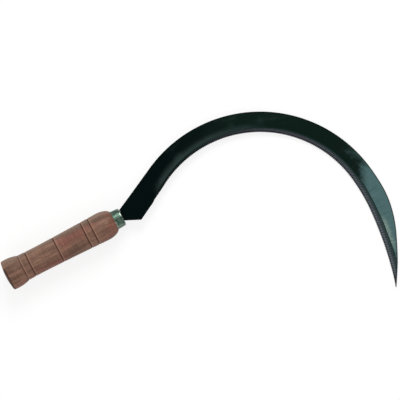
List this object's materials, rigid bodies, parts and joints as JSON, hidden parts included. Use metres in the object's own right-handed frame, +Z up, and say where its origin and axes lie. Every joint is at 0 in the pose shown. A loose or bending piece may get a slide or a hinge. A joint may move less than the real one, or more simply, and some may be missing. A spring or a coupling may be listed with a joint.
{
  "type": "serrated sickle",
  "caption": "Hand sickle with a turned wooden handle, a short steel ferrule and a crescent blade finely toothed along its inner edge.",
  "frame": {"origin": "the middle of the bounding box's underside, on the table that the tool lies on", "axes": "+X runs from the handle's butt end towards the blade's crook, +Y towards the blade's back, and +Z up, towards the face that the bevel is ground on. The handle's axis lies in a plane of X and Z and drops by 2.96 degrees towards the blade, because the tool lies on the fat front of its handle and on the blade's far side."},
  "size_m": [0.4136, 0.2582, 0.0392],
  "materials": {
    "handle": "bare turned hardwood, greyish brown, fine turning lines, five burnt grooves",
    "ferrule": "bright zinc coating with a faint green tint",
    "blade": "dark blue-green heat-treated steel, ground lighter at the bevel and towards the point"
  },
  "bodies": {
    "root": {"handle": "handle", "ferrule": "ferrule", "blade": "blade"}
  },
  "joints": []
}
